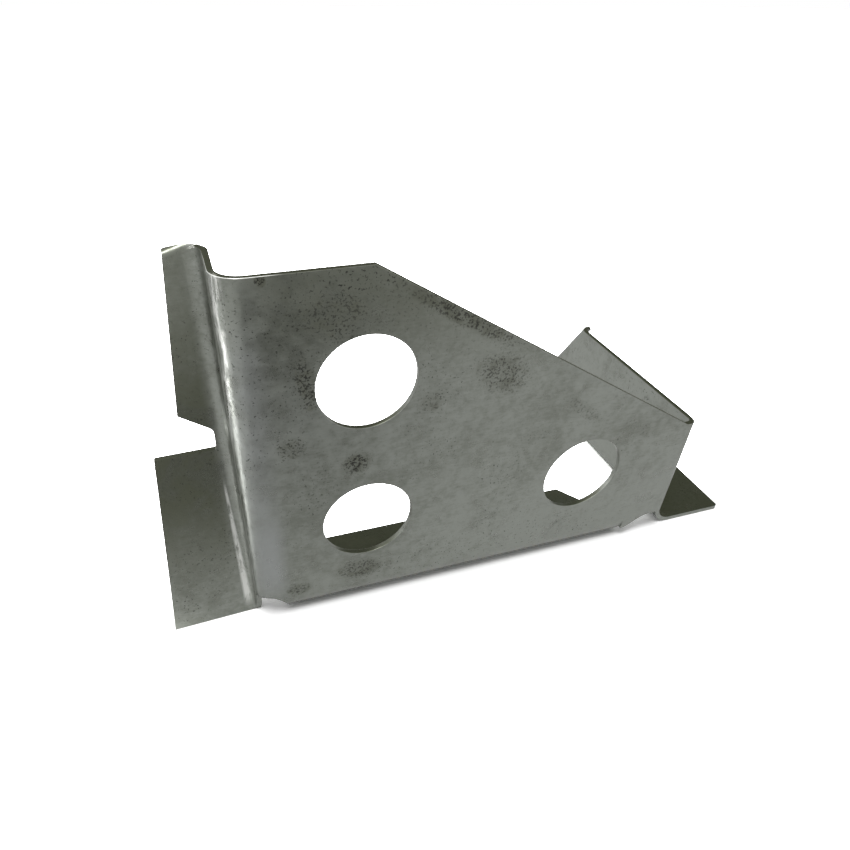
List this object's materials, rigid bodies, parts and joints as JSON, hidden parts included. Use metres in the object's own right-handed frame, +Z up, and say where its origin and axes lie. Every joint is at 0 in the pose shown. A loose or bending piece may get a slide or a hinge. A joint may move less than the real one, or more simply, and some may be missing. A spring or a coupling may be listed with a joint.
{
  "type": "stamped metal bracket",
  "caption": "Folded sheet-steel bracket: a sloping web with round lightening holes, a seat flange, a side flange with a foot, and joggled tabs at the other end.",
  "frame": {"origin": "on the underside of the seat flange, in the middle of its depth, below the two holes that stand one above the other", "axes": "+X along the web from the tabs to the side flange, +Y away from the web's plain face, +Z up"},
  "size_m": [0.1905, 0.0892, 0.1038],
  "materials": {
    "steel": "bare rolled steel, lightly oiled and stained"
  },
  "bodies": {
    "root": {"bracket": "steel"}
  },
  "joints": []
}
